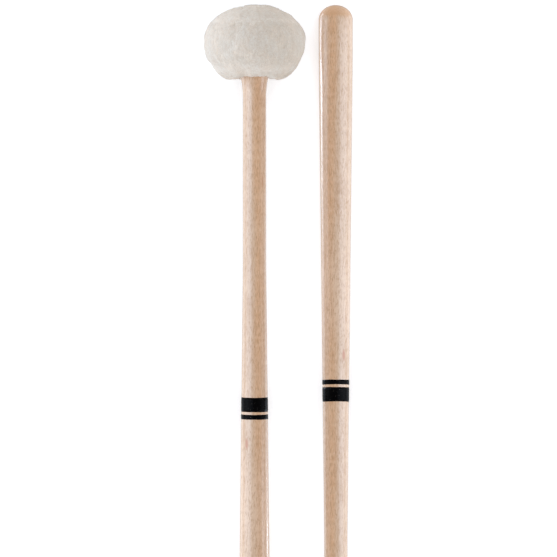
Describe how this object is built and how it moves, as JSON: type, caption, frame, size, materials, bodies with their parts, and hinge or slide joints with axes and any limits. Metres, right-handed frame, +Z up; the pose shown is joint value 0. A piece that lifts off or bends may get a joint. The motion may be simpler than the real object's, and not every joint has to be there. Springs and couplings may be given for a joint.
{
  "type": "pair of timpani mallets",
  "caption": "Matched pair of timpani mallets lying head to tail: tapered maple shafts with rounded butts, black bands and soft white felt heads.",
  "frame": {"origin": "on the table top, in the middle of the pair: half way between the two shafts and half way along them", "axes": "+Z up from the table; +Y along the left mallet towards its head, seen from above; +X from the left mallet to the right mallet, whose head is at the -Y end"},
  "size_m": [0.086, 0.3696, 0.048],
  "materials": {
    "maple": "pale hard maple, turned and clear-lacquered to a satin sheen, with fine straight grain",
    "black_band": "gloss black",
    "core_wood": "plain turned hardwood, unfinished",
    "steel": "zinc-plated steel",
    "firm_felt": "firm pressed wool felt, off-white",
    "soft_felt": "soft fluffy wool felt, creamy white",
    "thread": "waxed cotton thread, natural white"
  },
  "bodies": {
    "left_mallet": {"left_shaft": "maple", "left_wide_band": "black_band", "left_narrow_band": "black_band", "left_core": "core_wood", "left_core_washer": "steel", "left_core_screw": "steel", "left_top_pad": "firm_felt", "left_felt_liner": "firm_felt", "left_liner_stitching": "thread", "left_felt_cover": "soft_felt", "left_draw_thread": "thread"},
    "right_mallet": {"right_shaft": "maple", "right_wide_band": "black_band", "right_narrow_band": "black_band", "right_core": "core_wood", "right_core_washer": "steel", "right_core_screw": "steel", "right_top_pad": "firm_felt", "right_felt_liner": "firm_felt", "right_liner_stitching": "thread", "right_felt_cover": "soft_felt", "right_draw_thread": "thread"}
  },
  "joints": [
    {"name": "right_mallet_lift", "type": "slide", "parent": "left_mallet", "child": "right_mallet", "axis": [0, 0, 1], "range_m": [0, 0.08]}
  ]
}
